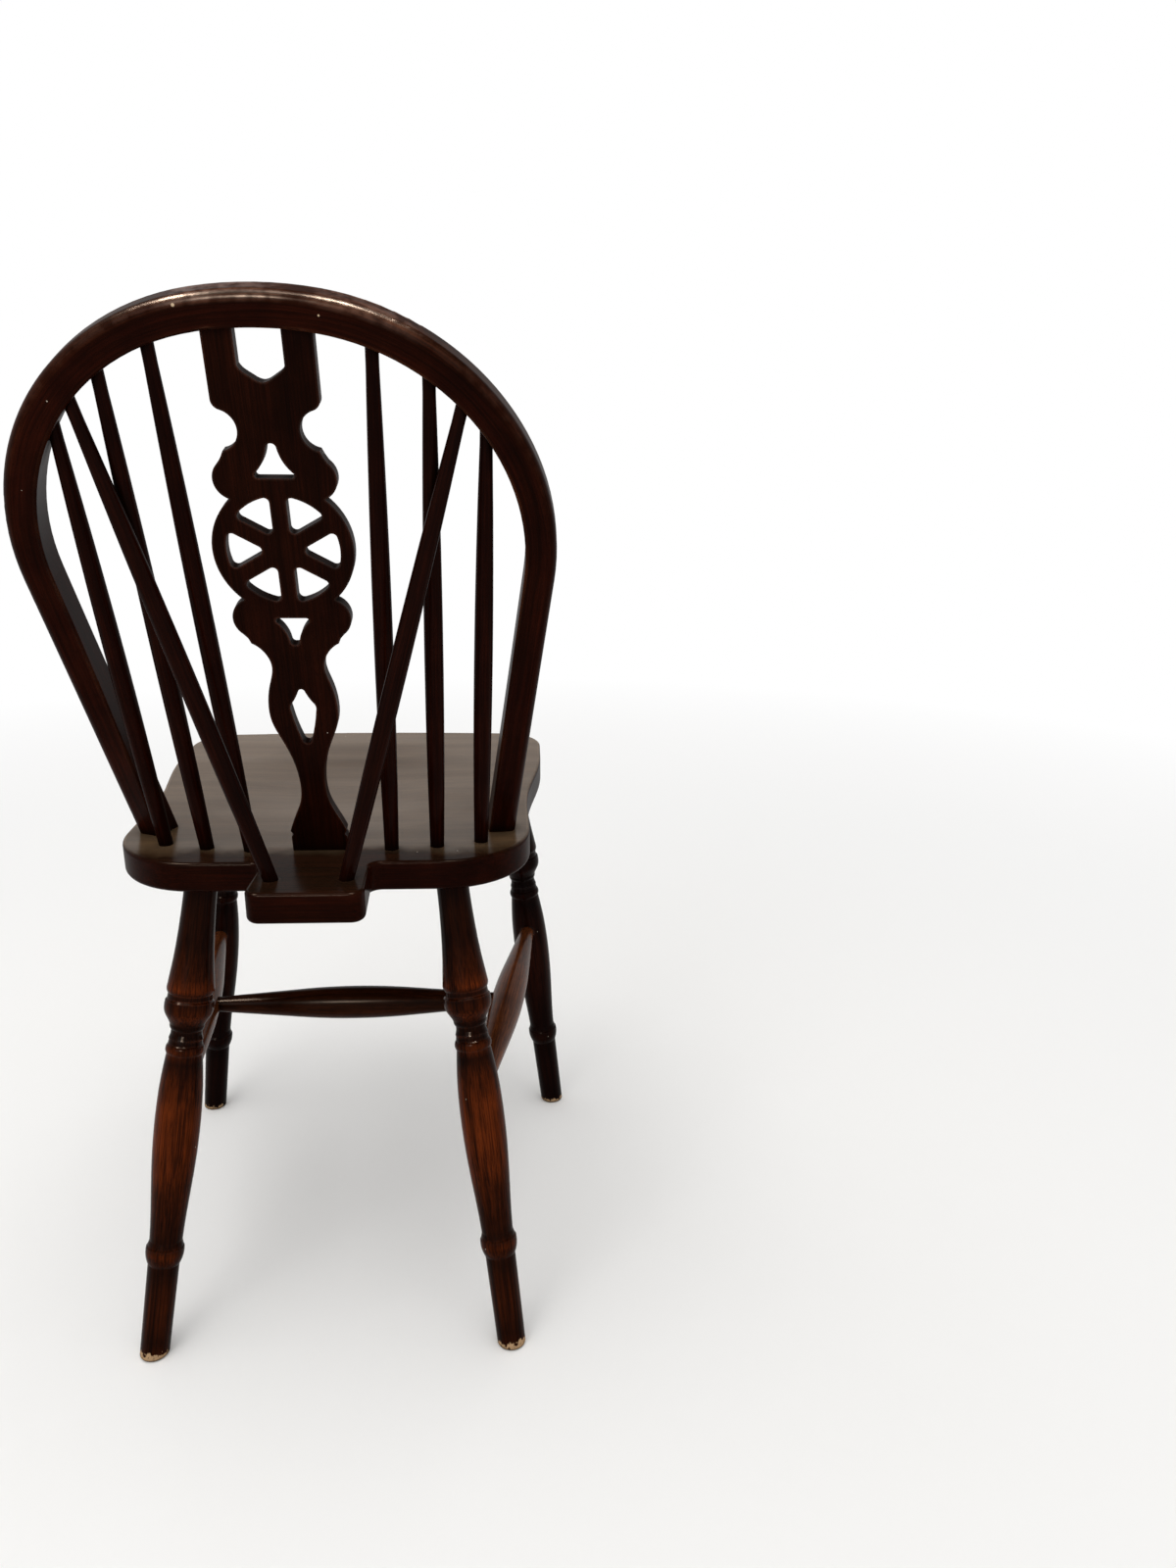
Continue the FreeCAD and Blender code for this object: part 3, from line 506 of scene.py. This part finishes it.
# The side colours are wear and a painted reflection; the cross colours are the wood's own.
stretcher_wear_and_reflection_colours = {"side": ("#30160a", "#6c3819", "#925e34"), "cross": ("#120602", "#301406", "#5f3416")}
for node, piece in chair.items():
    if "stretcher" in node:
        low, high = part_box(node)
        middle = (low + high) / 2
        ends = (Vector((low.x, middle.y, middle.z)), Vector((high.x, middle.y, middle.z)))
        if "side" in node:
            across = math.copysign(1, middle.x)
            front = metres(front_feet[0], across).lerp(metres(front_feet[1], across), up_front_leg)
            back = metres(back_feet[0], across).lerp(metres(back_feet[1], across), up_back_leg)
            ends = (back, front)
        finish(piece, lacquered_beech(
            "worn_beech_" + node, lambda m: grain_point(m, *ends),
            *stretcher_wear_and_reflection_colours[node.split("_")[0]], gloss=0.22, coat=0.09, rim=0.5))
print("stretchers finished")

# %% [markdown]
# ## The wedges
# Each tenon of the hoop is split and spread by a wedge under the seat. Nobody stained those, so
# they are the colour of old bare beech.

# %% Finish the wedges
wedge_colours = ("#3a2414", "#6b472a", "#8a6038")
for side_name in ("left", "right"):
    piece = chair["hoop_wedge_" + side_name]
    finish(piece, lacquered_beech(
        "bare_beech_wedge_" + side_name, lambda m: grain_point(m, *low_and_high(piece)),
        *wedge_colours, gloss=0.4, coat=0.05))
print("wedges finished")

# %% [markdown]
# ## The studio
# The chair stands on a plain pale floor in front of a white wall. Above the wall the room is
# dim, and soft lamps hang from its ceiling. The gloss of the seat shows all of this, so the
# world gives the same wall to the camera and to reflections, and only the soft fill light that
# falls on the wood is even.

# %% Camera
sensor_width = 36.0
focal_length_in_pixels, photo_height_in_pixels = 1200.1, 1600
camera_place = Vector((-0.16985, 1.03713, 0.77114))
yaw, pitch, roll = -0.0549082094, 0.299061980, 0.00901822654
forward = Vector((math.sin(yaw) * math.cos(pitch), -math.cos(yaw) * math.cos(pitch), -math.sin(pitch)))
level = Vector((-math.cos(yaw), -math.sin(yaw), 0.0))
above = level.cross(forward)
right = math.cos(roll) * level + math.sin(roll) * above
above = math.cos(roll) * above - math.sin(roll) * level
camera_data = bpy.data.cameras.new("camera")
camera_data.sensor_width = sensor_width
camera_data.lens = sensor_width * focal_length_in_pixels / photo_height_in_pixels
camera = bpy.data.objects.new("camera", camera_data)
bpy.context.scene.collection.objects.link(camera)
camera.matrix_world = Matrix((
    (right.x, above.x, -forward.x, camera_place.x),
    (right.y, above.y, -forward.y, camera_place.y),
    (right.z, above.z, -forward.z, camera_place.z),
    (0.0, 0.0, 0.0, 1.0)))
bpy.context.scene.camera = camera
print("camera", [round(x, 3) for x in camera_place], "lens", round(camera_data.lens, 2))

# %% [markdown]
# The floor is matt paint near the chair, so it keeps the shadow, and it fades to the white of
# the wall further out, so that no horizon shows.

# %% Floor
floor_size = 14.0
paint_until, wall_from = 0.6, 2.6  # metres from the chair
bpy.ops.object.select_all(action="DESELECT")
bpy.ops.mesh.primitive_plane_add(size=floor_size, location=(0.0, 0.0, 0.0))
floor = bpy.context.object
floor.name = "floor"
floor_paint = bpy.data.materials.new("matt_white_floor_paint")
floor_paint.use_nodes = True
floor_paint.node_tree.nodes.clear()
paint = add(floor_paint, "BsdfDiffuse", {"Color": linear("#f5f4f2")})
wall_light = add(floor_paint, "Emission", {"Color": linear("#ffffff"), "Strength": 1.0})
from_chair = add(floor_paint, "TexCoord", output="Object")
distance = add(floor_paint, "VectorMath", {0: from_chair}, "Value", operation="LENGTH")
sweep = add(floor_paint, "MapRange", {"Value": distance, 1: paint_until, 2: wall_from})
swept = add(floor_paint, "MixShader", {0: sweep, 1: paint, 2: wall_light})
add(floor_paint, "OutputMaterial", {0: swept})
floor.data.materials.append(floor_paint)
print("floor", floor_size, "metres across")

# %% World
wall_top, room_from = math.sin(math.radians(30)), math.sin(math.radians(40))
fill_strength = 0.80
world = bpy.data.worlds.new("studio")
bpy.context.scene.world = world
world.use_nodes = True
world.node_tree.nodes.clear()
direction = add(world, "TexCoord", output="Generated")
height = add(world, "SeparateXYZ", {0: direction}, 2)
wall_share = add(world, "MapRange", {"Value": height, 1: room_from, 2: wall_top})
room = add(world, "Mix", {0: wall_share, 6: linear("#4a4a4a"), 7: linear("#ffffff")}, 2, data_type="RGBA")
wall = add(world, "Background", {"Color": room, "Strength": 1.0})
fill = add(world, "Background", {"Color": linear("#ffffff"), "Strength": fill_strength})
camera_ray = add(world, "LightPath", output="Is Camera Ray")
rays = camera_ray.node.outputs
seen = add(world, "Math", {0: camera_ray, 1: rays["Is Glossy Ray"]}, operation="MAXIMUM")
seen = add(world, "Math", {0: seen, 1: rays["Is Transmission Ray"]}, operation="MAXIMUM")
mixed = add(world, "MixShader", {0: seen, 1: fill, 2: wall})
add(world, "OutputWorld", {0: mixed})
print("fill strength", fill_strength)

# %% [markdown]
# Two wide lamps and a window light the chair softly. Three warm strips show only in the gloss.
# They give the small highlights on the hoop and the turnings without a hard shadow.

# %% Lamps
chair_middle, chair_low, chair_back = (0.0, 0.1, 0.6), (0.0, 0.0, 0.4), (0.0, 0.15, 0.6)


def lamp(name, place, target, size, watts, colour="#ffffff"):
    """A soft rectangular lamp that faces a point."""
    data = bpy.data.lights.new(name, "AREA")
    data.shape = "RECTANGLE"
    data.size, data.size_y = size
    data.energy = watts
    data.color = linear(colour)[:3]
    lamp_object = bpy.data.objects.new(name, data)
    bpy.context.scene.collection.objects.link(lamp_object)
    lamp_object.location = place
    lamp_object.rotation_euler = (Vector(place) - Vector(target)).to_track_quat("Z", "Y").to_euler()
    return lamp_object


lamp("ceiling_lamp_left", (0.8, 0.3, 2.4), chair_middle, (1.2, 0.9), 7.0)
lamp("ceiling_lamp_right", (-0.12, 0.4, 2.4), chair_middle, (1.2, 0.9), 7.0)
lamp("window", (1.3, 2.3, 1.7), chair_low, (1.4, 1.2), 14.0)
for name, place, size, watts in (
        ("highlight_strip_left", (0.95, 0.45, 2.3), (0.6, 0.35), 130.0),
        ("highlight_strip_right", (-0.25, 0.55, 2.3), (0.5, 0.35), 110.0),
        ("highlight_strip_low", (0.55, 2.6, 1.75), (0.5, 0.3), 90.0)):
    strip = lamp(name, place, chair_back, size, watts, "#ffe3c8")
    strip.visible_diffuse = False
bpy.context.scene.view_settings.view_transform = "Standard"
print("lamps", len(bpy.data.lights))
